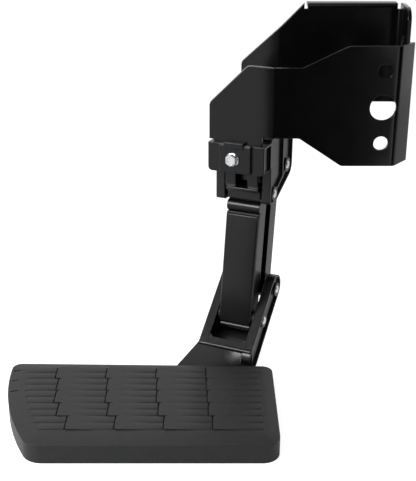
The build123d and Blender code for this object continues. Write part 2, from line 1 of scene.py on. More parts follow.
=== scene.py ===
# %% [markdown]
# # A folding bed step
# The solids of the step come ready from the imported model: two bent bracket plates, a cast hinge
# with two arms, a carrier and a tread pad. This lesson gives them a studio, a camera, finishes
# and the small pieces that a solid model leaves plain. Lengths are in metres, apart from those of
# the hinge, the arms and the carrier, which are in millimetres.

# %% Load the solids
import json
import math

import bmesh
import bpy
from mathutils import Matrix, Vector


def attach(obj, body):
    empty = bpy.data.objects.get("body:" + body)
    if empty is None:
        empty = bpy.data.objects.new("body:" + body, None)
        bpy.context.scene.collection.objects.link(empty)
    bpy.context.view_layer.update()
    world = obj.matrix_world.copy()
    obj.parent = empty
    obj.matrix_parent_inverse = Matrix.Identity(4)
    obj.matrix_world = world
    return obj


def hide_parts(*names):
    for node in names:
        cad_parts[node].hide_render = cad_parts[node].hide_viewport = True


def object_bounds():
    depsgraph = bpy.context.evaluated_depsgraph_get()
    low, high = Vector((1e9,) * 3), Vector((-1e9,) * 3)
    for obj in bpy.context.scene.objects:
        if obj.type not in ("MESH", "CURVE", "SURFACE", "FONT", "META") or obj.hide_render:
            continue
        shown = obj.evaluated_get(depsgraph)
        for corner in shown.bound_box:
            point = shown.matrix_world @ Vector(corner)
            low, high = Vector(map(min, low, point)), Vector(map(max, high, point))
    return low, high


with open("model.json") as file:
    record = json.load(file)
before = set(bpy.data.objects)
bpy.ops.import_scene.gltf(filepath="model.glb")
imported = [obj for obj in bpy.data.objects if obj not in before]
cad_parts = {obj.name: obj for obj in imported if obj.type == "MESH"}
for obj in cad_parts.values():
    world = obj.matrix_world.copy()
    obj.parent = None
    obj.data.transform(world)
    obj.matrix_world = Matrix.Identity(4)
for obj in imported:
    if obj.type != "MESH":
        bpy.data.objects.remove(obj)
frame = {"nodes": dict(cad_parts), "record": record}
nodes = frame["nodes"]
cad_low, cad_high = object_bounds()
print("nodes", len(nodes), "box", [round(v, 4) for v in (*cad_low, *cad_high)])

# %% [markdown]
# ## The camera
# The picture was taken from the front, looking down on the tread. A long lens keeps the plates
# nearly parallel, so the camera stands about a metre off and is only tilted, not turned.

# %% Place the camera
IMAGE_LONG_SIDE = 481
FOCAL_PIXELS = 950.0
SENSOR = 36.0
CAMERA_AT = (-0.205, -1.0881, 0.2767)
CAMERA_TILT = math.radians(22.2)
QUARTER_TURN = math.pi / 2

lens = bpy.data.cameras.new("camera")
lens.sensor_width = SENSOR
lens.lens = SENSOR * FOCAL_PIXELS / IMAGE_LONG_SIDE
camera = bpy.data.objects.new("camera", lens)
camera.location = CAMERA_AT
camera.rotation_euler = (QUARTER_TURN - CAMERA_TILT, 0, 0)
bpy.context.scene.collection.objects.link(camera)
bpy.context.scene.camera = camera
bpy.context.scene.view_settings.view_transform = "Standard"
print("lens", round(lens.lens, 2))

# %% [markdown]
# ## Shader sums in plain Python
# A finish is a small sum of textures. Wiring each Math node by hand hides the sum, so one class
# wraps a socket and adds the node when two values meet in an expression. A second class makes any
# other node from its type, its settings and its inputs, and a third one adds what a material needs.


# %% Shader helpers
BEVEL_SAMPLES = 6


class Value:
    """A socket that takes part in Python sums: each operator adds one Math node."""

    def __init__(self, tree, socket):
        self.tree = tree
        self.socket = socket

    def math(self, operation, first, second):
        node = self.tree.nodes.new("ShaderNodeMath")
        node.operation = operation
        for place, value in enumerate((first, second)):
            if isinstance(value, Value):
                self.tree.links.new(value.socket, node.inputs[place])
            else:
                node.inputs[place].default_value = value
        return Value(self.tree, node.outputs[0])

    def __add__(self, other):
        return self.math("ADD", self, other)

    def __radd__(self, other):
        return self.math("ADD", other, self)

    def __sub__(self, other):
        return self.math("SUBTRACT", self, other)

    def __rsub__(self, other):
        return self.math("SUBTRACT", other, self)

    def __mul__(self, other):
        return self.math("MULTIPLY", self, other)

    def __rmul__(self, other):
        return self.math("MULTIPLY", other, self)

    def __pow__(self, other):
        return self.math("POWER", self, other)


class Nodes:
    """A node tree, with one method that makes any node in it."""

    def __init__(self, tree):
        self.tree = tree

    def add(self, kind, settings=None, output=0, **inputs):
        node = self.tree.nodes.new("ShaderNode" + kind)
        for name, value in (settings or {}).items():
            setattr(node, name, value)
        for name, value in inputs.items():
            self.feed(node.inputs[name.replace("_", " ")], value)
        return Value(self.tree, node.outputs[output])

    def feed(self, socket, value):
        if isinstance(value, Value):
            self.tree.links.new(value.socket, socket)
        else:
            socket.default_value = value


class Finish(Nodes):
    """A material with a Principled shader, and the steps that most finishes share."""

    def __init__(self, name, **sockets):
        self.material = bpy.data.materials.new(name)
        self.material.use_nodes = True
        super().__init__(self.material.node_tree)
        self.shader = self.tree.nodes["Principled BSDF"]
        for socket, value in sockets.items():
            self.feed(self.shader.inputs[socket.replace("_", " ")], value)

    def noise(self, scale, detail):
        place = self.add("TexCoord", output="Object")
        return self.add("TexNoise", Vector=place, Scale=scale, Detail=detail)

    def tint(self, factor, dark, light):
        """A base colour that a factor moves from dark to light."""
        colour = self.add("Mix", {"data_type": "RGBA"}, "Result", Factor=factor, A=(*dark, 1), B=(*light, 1))
        self.feed(self.shader.inputs["Base Color"], colour)

    def roughen(self, least, spread, cloud):
        """A roughness that a cloud lifts from its least value."""
        self.feed(self.shader.inputs["Roughness"], least + cloud * spread)

    def relief(self, height, distance, strength, edge=0.0, under=None):
        """A fine relief on top of rounded edges and, if given, of a wider height in metres."""
        bump = {"Height": height, "Distance": distance, "Strength": strength}
        if edge:
            bump["Normal"] = self.add("Bevel", {"samples": BEVEL_SAMPLES}, Radius=edge)
        if under:
            bump["Normal"] = self.add("Bump", Height=under, Distance=1.0, Normal=bump["Normal"])
        self.feed(self.shader.inputs["Normal"], self.add("Bump", **bump))


print("helpers", Value.__name__, Nodes.__name__, Finish.__name__)

# %% [markdown]
# ## The studio
# A white table lies under the object, a white wall stands behind it, and the room behind the camera
# is dark. That is why the plate that faces the camera looks black while the tread, which mirrors the wall,
# looks grey. The table could be plain white paper under strong lamps, but those would light the
# black parts too, so the paper glows a little by itself for the camera, and less in mirrors.

# %% Table
FLOOR_Z = cad_low.z
TABLE_X = -0.2
TABLE_FRONT = -0.34
TABLE_REACH = 1.6
TABLE_GAP = 0.0003
PAPER_GLOW = 1.75
GLOW_LOOKED_AT = 0.5
GLOW_MIRRORED = 0.12

table_half = (TABLE_REACH, (TABLE_REACH - TABLE_FRONT) / 2, 1)
table_middle = (TABLE_X, (TABLE_REACH + TABLE_FRONT) / 2, FLOOR_Z - TABLE_GAP)
table_mesh = bmesh.new()
bmesh.ops.create_grid(table_mesh, x_segments=1, y_segments=1, size=1.0)
bmesh.ops.scale(table_mesh, vec=table_half, verts=table_mesh.verts)
bmesh.ops.translate(table_mesh, vec=table_middle, verts=table_mesh.verts)
table_data = bpy.data.meshes.new("table")
table_mesh.to_mesh(table_data)
table_mesh.free()
table = bpy.data.objects.new("table", table_data)
bpy.context.scene.collection.objects.link(table)

paper = Finish("table_paper", Roughness=0.9, Base_Color=(0.9, 0.9, 0.9, 1))
paper_glow = paper.add("Emission", Color=(1, 1, 1, 1), Strength=PAPER_GLOW)
looked_at = paper.add("LightPath", output="Is Camera Ray")
glossy = paper.add("LightPath", output="Is Glossy Ray")
clear = paper.add("LightPath", output="Is Transmission Ray")
seen = looked_at * GLOW_LOOKED_AT + (glossy + clear) * GLOW_MIRRORED
paper_mix = paper.add("MixShader")
mix_inputs = paper_mix.socket.node.inputs
paper.feed(mix_inputs[0], seen)
paper.feed(mix_inputs[1], Value(paper.tree, paper.shader.outputs[0]))
paper.feed(mix_inputs[2], paper_glow)
paper.feed(paper.tree.nodes["Material Output"].inputs["Surface"], paper_mix)
table.data.materials.append(paper.material)
print("table at", round(FLOOR_Z, 4))

# %% [markdown]
# The room could be built from walls, but a background that fades from a bright back to a dark front
# gives the same mirror pictures with fewer parts. The camera itself sees plain white, and soft
# light gets a little less of it than mirrors do.

# %% Room
WALL_FADE = {"From_Min": -0.15, "From_Max": 0.5, "To_Min": 0.004, "To_Max": 1.0}
SOFT_SHARE = 0.8

world = bpy.data.worlds.new("room")
bpy.context.scene.world = world
world.use_nodes = True
room = Nodes(world.node_tree)
direction = room.add("TexCoord", output="Generated")
toward_back = room.add("SeparateXYZ", output="Y", Vector=direction)
wall = room.add("MapRange", {"interpolation_type": "SMOOTHSTEP"}, Value=toward_back, **WALL_FADE)
camera_ray = room.add("LightPath", output="Is Camera Ray")
glossy_ray = room.add("LightPath", output="Is Glossy Ray")
clear_ray = room.add("LightPath", output="Is Transmission Ray")
mirror_ray = glossy_ray + clear_ray
room_level = camera_ray + mirror_ray * wall + (1 - camera_ray - mirror_ray) * wall * SOFT_SHARE
backdrop = room.tree.nodes["Background"].inputs
room.feed(backdrop["Strength"], room_level)
room.feed(backdrop["Color"], (1, 1, 1, 1))
print("room nodes", len(room.tree.nodes))

# %% [markdown]
# Two soft boxes beside the camera draw the gradients on the slanted faces, and one hangs above. A
# stronger one, high on the left, draws the light line along rolls and bends: it has to lie where a
# roll mirrors it towards the camera, so it is placed by that line and not by how bright it makes
# the rest.


# %% Lamps
def soft_box(name, place, target, size, watts):
    """A rectangular lamp that looks at a point."""
    lamp = bpy.data.lights.new(name, "AREA")
    lamp.shape = "RECTANGLE"
    lamp.size, lamp.size_y = size
    lamp.energy = watts
    holder = bpy.data.objects.new(name, lamp)
    holder.location = place
    holder.rotation_euler = (Vector(target) - Vector(place)).to_track_quat("-Z", "Y").to_euler()
    bpy.context.scene.collection.objects.link(holder)


middle = (cad_low + cad_high) / 2
soft_box("left_box", place=(-1.15, -0.75, -0.15), target=(-0.2, 0.0, -0.05), size=(0.8, 1.0), watts=2.0)
soft_box("right_box", place=(0.45, -1.05, -0.1), target=(0.0, 0.0, -0.05), size=(0.35, 1.0), watts=1.2)
soft_box("top_box", place=(-0.4, -0.25, 1.2), target=middle, size=(1.2, 0.7), watts=2.5)
soft_box("strip", place=(-0.95, -0.65, 0.58), target=(-0.16, 0.04, -0.14), size=(0.9, 0.5), watts=17.0)
print("lamps", len(bpy.data.lights))

# %% [markdown]
# ## Finishes
# The plates are powder coated: a smooth black skin with a faint orange peel. The castings wear the
# same black over a rougher surface. Every hard edge of a coated part is slightly round and catches
# a thin light line, so the Bevel node rounds the shading there. The plates' wings meet in a wide
# soft bend, so a shallow dip along that line turns the light slowly from one wing to the other.

# %% Black coats
FRONT_BEND_X = -0.1256
REAR_BEND_SHIFT = 0.0116
BETWEEN_PLATES_Y = 0.05
BEND_SOFT = 0.024
BEND_ROUND = 0.0014
BEND_SLOPE = 0.11

powder = Finish("powder_coat", Roughness=0.2, Specular_IOR_Level=0.42)
powder.tint(powder.noise(60, 3), dark=(0.0012, 0.0012, 0.0013), light=(0.0028, 0.0028, 0.003))
powder.roughen(least=0.17, spread=0.08, cloud=powder.noise(35, 4))
where = powder.add("TexCoord", output="Object")
along = powder.add("SeparateXYZ", Vector=where, output="X")
depth = powder.add("SeparateXYZ", Vector=where, output="Y")
is_rear = depth.math("GREATER_THAN", depth, BETWEEN_PLATES_Y)
from_bend = along - FRONT_BEND_X - is_rear * REAR_BEND_SHIFT
away = (from_bend * from_bend + BEND_ROUND**2) ** 0.5 * (1 / BEND_SOFT)
near = 1 - away.math("MINIMUM", away, 1.0)
dip = near**2 * (-BEND_SLOPE * BEND_SOFT / 2)
powder.relief(powder.noise(900, 2), distance=0.00008, strength=0.25, edge=0.0014, under=dip)

cast = Finish("cast_black", Roughness=0.3, Specular_IOR_Level=0.42)
cast.tint(cast.noise(90, 4), dark=(0.002, 0.002, 0.0022), light=(0.005, 0.005, 0.0054))
cast.roughen(least=0.2, spread=0.1, cloud=cast.noise(120, 4))
cast.relief(cast.noise(700, 4), distance=0.00015, strength=0.4, edge=0.0018)
print("nodes in the coats", len(powder.tree.nodes), len(cast.tree.nodes))

# %% [markdown]
# The tread is moulded in a filled charcoal plastic, with a fine grain and no clear coat. A picture
# of the grain would need a UV map on the pad, so noise on the object's own coordinates makes it.

# %% Tread plastic
tread = Finish("tread_plastic", Roughness=0.5, Specular_IOR_Level=0.32)
tread.tint(tread.noise(140, 5), dark=(0.01, 0.0102, 0.0112), light=(0.018, 0.0183, 0.0198))
tread.roughen(least=0.42, spread=0.12, cloud=tread.noise(250, 3))
tread.relief(tread.noise(1500, 3), distance=0.00022, strength=0.55, edge=0.0006)
print("nodes in the tread plastic", len(tread.tree.nodes))

# %% [markdown]
# Pins are bare steel, bolts are zinc plated and the spring wire is darker. Metal shows mostly what
# it mirrors, so soft clouds in the colour and a very fine grain are enough. The stops are rubber and
# the bushes plastic, both dull.

# %% Steel, rubber and bush finishes
pin_steel = Finish("turned_steel", Metallic=1.0, Roughness=0.3)
pin_steel.tint(pin_steel.noise(300, 3), dark=(0.78, 0.78, 0.77), light=(0.92, 0.92, 0.91))
pin_steel.relief(pin_steel.noise(2500, 2), distance=0.00003, strength=0.4, edge=0.0003)

zinc = Finish("zinc_plate", Metallic=1.0, Roughness=0.36)
zinc.tint(zinc.noise(500, 4), dark=(0.84, 0.87, 0.89), light=(0.95, 0.96, 0.97))
zinc.roughen(least=0.22, spread=0.08, cloud=zinc.noise(300, 3))
zinc.relief(zinc.noise(900, 2), distance=0.00002, strength=0.15, edge=0.0003)

spring_steel = Finish("spring_wire", Metallic=1.0, Roughness=0.4)
spring_steel.tint(spring_steel.noise(800, 2), dark=(0.2, 0.2, 0.21), light=(0.34, 0.34, 0.35))
spring_steel.relief(spring_steel.noise(3000, 2), distance=0.00003, strength=0.3)

rubber = Finish("bumper_rubber", Roughness=0.75)
rubber.tint(rubber.noise(400, 3), dark=(0.035, 0.035, 0.036), light=(0.055, 0.055, 0.057))
rubber.relief(rubber.noise(1200, 3), distance=0.00012, strength=0.5, edge=0.0006)

bush = Finish("bush_plastic", Roughness=0.5)
bush.tint(bush.noise(300, 3), dark=(0.02, 0.02, 0.021), light=(0.032, 0.032, 0.033))
bush.relief(bush.noise(1500, 2), distance=0.00006, strength=0.3, edge=0.0004)
print("materials", len(bpy.data.materials))

# %% [markdown]
# Each solid names the stuff it is made of in the record. Finishes could be given solid by solid, but
# a short list from stuff to finish covers all of them and leaves none out.

# %% Give each solid its finish
finish_of = {
    "bracket_steel": powder,
    "casting": cast,
    "frame_alloy": cast,
    "pad_plastic": tread,
    "pin_steel": pin_steel,
    "zinc": zinc,
    "spring_steel": spring_steel,
    "bumper": rubber,
    "bush": bush,
}
for piece in frame["record"]["subparts"]:
    mesh = nodes[piece["node"]].data
    mesh.materials.clear()
    mesh.materials.append(finish_of[piece["material_slot"]].material)

# %% [markdown]
# ## Smooth skins on the solids
# The solids come as loose triangles. Welding them and splitting only the sharp edges lets round
# pins and corners shade as curves. Modifiers do both, so no vertex of the solids is moved.

# %% Weld and split
SHARP = math.radians(28)
WELD_DISTANCE = 2e-6
for node in nodes.values():
    node.data.polygons.foreach_set("use_smooth", [True] * len(node.data.polygons))
    weld = node.modifiers.new("weld", "WELD")
    weld.merge_threshold = WELD_DISTANCE
    split = node.modifiers.new("split", "EDGE_SPLIT")
    split.split_angle = SHARP
    split.use_edge_sharp = False
print("smoothed nodes", len(nodes))

# %% [markdown]
# ## New pieces
# A new piece starts as a bmesh, is shaped by bmesh operators and then becomes an object that rides
# on one of the bodies. A frame makes placing easy: one stands on the upper front pivot with its axes
# across, back and up, and others follow the carrier, the arms and the spring. The pieces of the
# hinge are typed in millimetres, as on a drawing, and a frame turns them into metres.

# %% Frames and helpers for new pieces
MM = 0.001
fold = frame["record"]["behaviour"]["joints"][0]
PIVOT = Vector(fold["pos_m"])
ACROSS = Vector(fold["axis"]).normalized()
UP = Vector((0, 0, 1))
BACK = UP.cross(ACROSS)


def stand(origin, x_axis, y_axis, z_axis):
    """A frame in millimetres with these axes, at a point of the row frame in metres."""
    turned = Matrix((x_axis, y_axis, z_axis)).transposed().to_4x4()
    return Matrix.Translation(origin) @ turned @ Matrix.Scale(MM, 4)


def at_hinge(across, behind, above):
    """A point of the hinge frame in millimetres, as a point of the row frame in metres."""
    return PIVOT + (ACROSS * across + BACK * behind + UP * above) * MM


def dress(mesh, name, body, finish, sharp=SHARP):
    """Turn a bmesh into a piece that rides on a body, with smooth skins and sharp edges."""
    bmesh.ops.recalc_face_normals(mesh, faces=mesh.faces)
    data = bpy.data.meshes.new(name)
    mesh.to_mesh(data)
    mesh.free()
    data.materials.append(finish.material)
    data.polygons.foreach_set("use_smooth", [True] * len(data.polygons))
    piece = bpy.data.objects.new(name, data)
    bpy.context.scene.collection.objects.link(piece)
    split = piece.modifiers.new("split", "EDGE_SPLIT")
    split.split_angle = sharp
    split.use_edge_sharp = False
    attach(piece, body)
    print(name, "faces", len(data.polygons))
    return piece


def block(mesh, low, high):
    """A box of the mesh between two corners; its vertices come back."""
    verts = bmesh.ops.create_cube(mesh, size=1.0)["verts"]
    low, high = Vector(low), Vector(high)
    bmesh.ops.scale(mesh, vec=high - low, verts=verts)
    bmesh.ops.translate(mesh, vec=(low + high) / 2, verts=verts)
    return verts


def round_edges(mesh, edges, radius, segments=4):
    """Round some edges of the mesh."""
    bmesh.ops.bevel(
        mesh,
        geom=edges,
        offset=radius,
        offset_type="OFFSET",
        segments=segments,
        profile=0.5,
        affect="EDGES",
        material=-1,
    )


def edges_of(verts, test):
    """The edges at these vertices whose two ends both pass a test."""
    chosen = {edge for vert in verts for edge in vert.link_edges}
    return [edge for edge in chosen if all(test(vert.co) for vert in edge.verts)]


def push(mesh, faces, rise):
    """Move some faces up, or down if rise is negative, with new walls; new vertices and faces come back."""
    made = bmesh.ops.extrude_face_region(mesh, geom=faces)["geom"]
    bmesh.ops.delete(mesh, geom=faces, context="FACES_ONLY")
    verts = [item for item in made if isinstance(item, bmesh.types.BMVert)]
    bmesh.ops.translate(mesh, vec=(0, 0, rise), verts=verts)
    return verts, [item for item in made if isinstance(item, bmesh.types.BMFace)]


def cut_faces(mesh, faces, place, normal):
    """Split some faces along a plane and keep both halves."""
    verts = {vert for face in faces for vert in face.verts}
    edges = {edge for face in faces for edge in face.edges}
    bmesh.ops.bisect_plane(mesh, geom=[*verts, *edges, *faces], plane_co=place, plane_no=normal)


print("hinge frame at", [round(v, 4) for v in PIVOT])

# %% [markdown]
# ## The tread
# The tread is a moulded pad with five rows of overlapping tiles, like shingles. Each tile rises from
# right to left and ends in a bowed lip, and two ribs run through each row. Where a tile is low the
# ribs stand out, and where it is high they sink in. The pad's walls, cavity and border come from the
# solid, because they fit already: a copy is cut level just below its field, closed, and gets new
# grooves, ribs and tiles.

# %% Cut the pad level
PAD_CORNER = Vector((-0.125, -0.2164, FLOOR_Z))
FIELD_UP = 0.025

pad = bmesh.new()
pad.from_mesh(nodes["step_pad"].data)
bmesh.ops.remove_doubles(pad, verts=pad.verts, dist=WELD_DISTANCE)
field_z = FLOOR_Z + FIELD_UP
everything = pad.verts[:] + pad.edges[:] + pad.faces[:]
bmesh.ops.bisect_plane(pad, geom=everything, plane_co=(0, 0, field_z), plane_no=(0, 0, 1), clear_outer=True)
field_rim = [edge for edge in pad.edges if edge.is_boundary]
bmesh.ops.holes_fill(pad, edges=field_rim, sides=0)
print("field rim", len(field_rim), "open edges left", sum(edge.is_boundary for edge in pad.edges))

# %% [markdown]
# Each tile ends over a narrow groove, which is what draws its lip as a dark line. A groove could be
# a separate dark piece, but a real one takes its shade from its depth: the flat field is cut along
# the two sides of every row and of every groove, and the faces inside the grooves are pushed down.

# %% Cut a groove for each tile
RIB_NEAR = 0.0285
RIB_PITCH = 0.0139
ROW_LEAD = 0.0007
TILE_WIDTH = 0.0275
TILE_FIRST = (0.0740, 0.0787, 0.0800, 0.0810, 0.0817)
TILE_PITCH = (0.0552, 0.0580, 0.0599, 0.0600, 0.0615)
TILES_IN_ROW = 4
ROWS = range(len(TILE_FIRST))
GROOVE = (-0.0013, 0.0042)
GROOVE_DEEP = 0.0018
WHOLE_FIELD = (0, 1)
LEVEL = 0.99
TOUCH = 1e-5


def row_near(row):
    """Depth of a row's near side."""
    return RIB_NEAR + 2 * row * RIB_PITCH - ROW_LEAD


def lip_at(row, tile):
    """Where a tile's left lip lies, counted from the right."""
    return -TILE_FIRST[row] - tile * TILE_PITCH[row]


def field_faces(low, high):
    """The faces of the flat field whose middles lie between two depths."""
    found = []
    for face in pad.faces:
        centre = face.calc_center_median()
        on_field = face.normal.z > LEVEL and abs(centre.z - field_z) < TOUCH
        if on_field and low < centre.y - PAD_CORNER.y < high:
            found.append(face)
    return found


def split_field(low, high, place, normal):
    """Cut the field between two depths along one plane."""
    cut_faces(pad, field_faces(low, high), PAD_CORNER + Vector(place), normal)


bmesh.ops.recalc_face_normals(pad, faces=pad.faces)
for row in ROWS:
    near_y, far_y = row_near(row), row_near(row) + TILE_WIDTH
    split_field(*WHOLE_FIELD, (0, near_y, 0), (0, 1, 0))
    split_field(*WHOLE_FIELD, (0, far_y, 0), (0, 1, 0))
    for tile in range(TILES_IN_ROW):
        for side in GROOVE:
            split_field(near_y, far_y, (lip_at(row, tile) + side, 0, 0), (1, 0, 0))
grooves = []
for row in ROWS:
    for face in field_faces(row_near(row), row_near(row) + TILE_WIDTH):
        from_right = face.calc_center_median().x - PAD_CORNER.x
        if any(GROOVE[0] < from_right - lip_at(row, tile) < GROOVE[1] for tile in range(TILES_IN_ROW)):
            grooves.append(face)
push(pad, grooves, -GROOVE_DEEP)
print("grooves", len(grooves))

# %% [markdown]
# Three short slots cross the left border near its back. The border slopes, so a cutter from above
# would need a boolean: instead four planes cut each slot out of the border's own faces, and the
# faces between them are pushed down.

# %% Cut the border slots
LEFT_EDGE_R = 0.3315
LEFT_EDGE_X = 0.007
LEFT_EDGE_Y = 0.170
SLOT_DEPTHS = (0.112, 0.137, 0.160)
SLOT_INSET = 0.0075
SLOT_HALF = (0.0042, 0.0011)
SLOT_SINK = 0.0014
LOOKS_UP = 0.5
BORDER_REACH = 0.04
BELOW_FIELD = 0.0001


def left_border(depth, inset):
    """Where the bowed left edge, moved in by inset, crosses this depth of the pad."""
    return LEFT_EDGE_X - math.sqrt((LEFT_EDGE_R - inset) ** 2 - (depth - LEFT_EDGE_Y) ** 2)


def border_faces(right_x):
    """The faces left of a place that look up and lie below the field."""
    found = []
    for face in pad.faces:
        centre = face.calc_center_median()
        if face.normal.z > LOOKS_UP and centre.x < right_x and centre.z < field_z - BELOW_FIELD:
            found.append(face)
    return found


for depth in SLOT_DEPTHS:
    slot = PAD_CORNER + Vector((left_border(depth, SLOT_INSET), depth, 0))
    for axis in (0, 1):
        for sign in (-1, 1):
            side = Vector((0, 0, 0))
            side[axis] = sign
            cut_faces(pad, border_faces(slot.x + BORDER_REACH), slot + side * SLOT_HALF[axis], side)
    bottom = []
    for face in pad.faces:
        away = face.calc_center_median() - slot
        if face.normal.z > LOOKS_UP and abs(away.x) < SLOT_HALF[0] and abs(away.y) < SLOT_HALF[1]:
            bottom.append(face)
    push(pad, bottom, -SLOT_SINK)
    print("slot faces", len(bottom))
tread_pad = dress(pad, "tread_pad", "step", tread)
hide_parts("step_pad")

# %% [markdown]
# The ribs are ten rows of bars with rounded tops, broken at the lips. The tiles are wedges: a box
# whose right end is pushed down into the field and whose left corners are rounded, which gives the
# lip its bow. Wedges that reach into the ribs let the ribs come and go without cutting either.

# %% Ribs and tiles
BORDER = 0.016
RIB_WIDTH = 0.0118
RIB_HIGH = 0.0006
RIB_ROUND = 0.0006
RIB_LEFT_GAP = 0.004
RIB_RIGHT_GAP = 0.002
TILE_HIGH = 0.0013
TILE_SINK = 0.0006
LOW_END_DROP = TILE_HIGH + TILE_SINK / 3
LIP_ROUND = 0.005
TOE_ROUND = 0.003
RIGHT_END = -BORDER - RIB_RIGHT_GAP

ribs = bmesh.new()
for rib in range(2 * len(ROWS)):
    row = rib // 2
    near_y = RIB_NEAR + rib * RIB_PITCH
    stops = [left_border(near_y, BORDER) + RIB_LEFT_GAP]
    stops += [lip_at(row, tile) for tile in reversed(range(TILES_IN_ROW))]
    ends = [lip + GROOVE[0] for lip in stops[1:]] + [RIGHT_END]
    for start, end in zip(stops, ends):
        bar = block(ribs, (start, near_y, -TILE_SINK), (end, near_y + RIB_WIDTH, RIB_HIGH))
        round_edges(ribs, edges_of(bar, lambda co: co.z > 0), RIB_ROUND, segments=3)

for row in ROWS:
    near_y, far_y = row_near(row), row_near(row) + TILE_WIDTH
    for tile in range(TILES_IN_ROW):
        left_x = lip_at(row, tile)
        right_x = RIGHT_END if tile == 0 else lip_at(row, tile - 1) + GROOVE[0]
        wedge = block(ribs, (left_x, near_y, -TILE_SINK), (right_x, far_y, TILE_HIGH))
        low_end = [v for v in wedge if v.co.x > (left_x + right_x) / 2 and v.co.z > 0]
        bmesh.ops.translate(ribs, vec=(0, 0, -LOW_END_DROP), verts=low_end)
        lip = edges_of(wedge, lambda co: co.x < left_x + TOUCH and co.y > far_y - TOUCH)
        toe = edges_of(wedge, lambda co: co.x < left_x + TOUCH and co.y < near_y + TOUCH)
        round_edges(ribs, lip, LIP_ROUND, segments=6)
        round_edges(ribs, toe, TOE_ROUND, segments=3)
bmesh.ops.translate(ribs, vec=PAD_CORNER + Vector((0, 0, FIELD_UP)), verts=ribs.verts)
dress(ribs, "tread_tiles", "step", tread)

# %% [markdown]
# ## The carrier's inside
# Between its two cheeks the carrier is closed behind by a thin web, which keeps the window dark. A
# small bead runs along the line where the sloped foot bends away, and the window's lower corners are
# filled by two small gussets, as a casting has them. They are blocks and a bar that reach a little
# into the solid, so no seam shows and the solid stays as it is.

# %% Carrier web
CARRIER_LOW = (-61.9, -202.7)
CARRIER_RUN = Vector((77.3, 66.5)).normalized()
run_axis = BACK * CARRIER_RUN.x + UP * CARRIER_RUN.y
CARRIER = stand(at_hinge(0, *CARRIER_LOW), ACROSS, run_axis, ACROSS.cross(run_axis))
CHEEK_IN = 25.0
WEB_HALF = CHEEK_IN + 0.5
WEB_LONG = 60
WEB_BACK = -17
WEB_FRONT = -13
WEB_ROUND = 2.0

web = bmesh.new()
block(web, (-WEB_HALF, 0, WEB_BACK), (WEB_HALF, WEB_LONG, WEB_FRONT))
web_middle = (WEB_BACK + WEB_FRONT) / 2
round_edges(web, edges_of(web.verts, lambda co: co.z > web_middle and co.y > WEB_LONG / 2), WEB_ROUND)
web.transform(CARRIER)
dress(web, "carrier_web", "step", cast)

# %% [markdown]
# Bars come back in the bead, in the arm's roll and in the spring's legs, so one helper makes them:
# a cylinder along Z, turned by a quarter turn and moved to its place.

# %% Bead and gussets
CHEEK_OUT = 36.5
BEAD_LONG = 2 * CHEEK_OUT - 1
BEAD_R = 3.2
BEAD_AT = (0, 0.8, 15.6)
GUSSET_HALF = 2.2
GUSSET_IN = 1.9
GUSSET_RUN = (10.7, 15)
GUSSET_RISE = (8.5, 16.9)
GUSSET_ROUND = 3.6


def round_bar(mesh, radius, length, axis, place, sides):
    """A round bar: made along Z, turned a quarter about an axis, then moved to its place."""
    made = bmesh.ops.create_cone(
        mesh,
        cap_ends=True,
        segments=sides,
        radius1=radius,
        radius2=radius,
        depth=length,
    )
    turn = Matrix.Rotation(QUARTER_TURN, 3, axis)
    bmesh.ops.rotate(mesh, cent=(0, 0, 0), matrix=turn, verts=made["verts"])
    bmesh.ops.translate(mesh, vec=place, verts=made["verts"])


bead = bmesh.new()
round_bar(bead, BEAD_R, BEAD_LONG, "Y", BEAD_AT, sides=24)
gusset_low = (-GUSSET_HALF, GUSSET_RUN[0], GUSSET_RISE[0])
gusset_high = (GUSSET_HALF, GUSSET_RUN[1], GUSSET_RISE[1])
gusset_middle = sum(GUSSET_RUN) / 2
for sign in (-1, 1):
    gusset = block(bead, gusset_low, gusset_high)
    bmesh.ops.translate(bead, vec=(sign * (CHEEK_IN - GUSSET_IN), 0, 0), verts=gusset)
    inner = edges_of(gusset, lambda co: abs(co.x) < CHEEK_IN - GUSSET_IN and co.y > gusset_middle)
    round_edges(bead, inner, GUSSET_ROUND, segments=5)
bead.transform(CARRIER)
dress(bead, "carrier_bead", "step", cast)

# %% [markdown]
# ## The front arm's ends
# The front arm is a broad pressed channel. At its top it has a thin lip that bears on the two soft
# stops, then a neck and a rolled shoulder. The solid has a plain block in the lip's place. A new arm
# would have to be fitted to the pins again, so a copy of the solid loses only that block, by two
# cuts, and gets the lip.

# %% Reshape the arm's top
ARM_LEAN = math.radians(9.3)
ARM_HALF = 22.0
HINGE = stand(PIVOT, ACROSS, BACK, UP)
HEEL_CUT = -13.2
HEEL_LOW = -10.5
CUT_MARGIN = 0.01
LIP_FRONT = -21.0
LIP_BACK = HEEL_CUT + 6
LIP_LOW = 4.2
LIP_TOP = 9.7
LIP_EDGE = 2.4

arm = bmesh.new()
arm.from_mesh(nodes["front_arm"].data)
bmesh.ops.remove_doubles(arm, verts=arm.verts, dist=WELD_DISTANCE)
arm.transform(HINGE.inverted())
for place, axis in (((0, HEEL_CUT, 0), (0, -1, 0)), ((0, 0, HEEL_LOW), (0, 0, 1))):
    everything = arm.verts[:] + arm.edges[:] + arm.faces[:]
    bmesh.ops.bisect_plane(arm, geom=everything, plane_co=place, plane_no=axis)
heel = []
for face in arm.faces:
    centre = face.calc_center_median()
    if centre.y < HEEL_CUT - CUT_MARGIN and centre.z > HEEL_LOW:
        heel.append(face)
bmesh.ops.delete(arm, geom=heel, context="FACES")
bmesh.ops.holes_fill(arm, edges=[edge for edge in arm.edges if edge.is_boundary], sides=0)
lip = block(arm, (-ARM_HALF, LIP_FRONT, LIP_LOW), (ARM_HALF, LIP_BACK, LIP_TOP))
round_edges(arm, edges_of(lip, lambda co: co.y < HEEL_CUT), LIP_EDGE)
arm.transform(HINGE)
print("heel faces cut", len(heel), "open edges", sum(edge.is_boundary for edge in arm.edges))

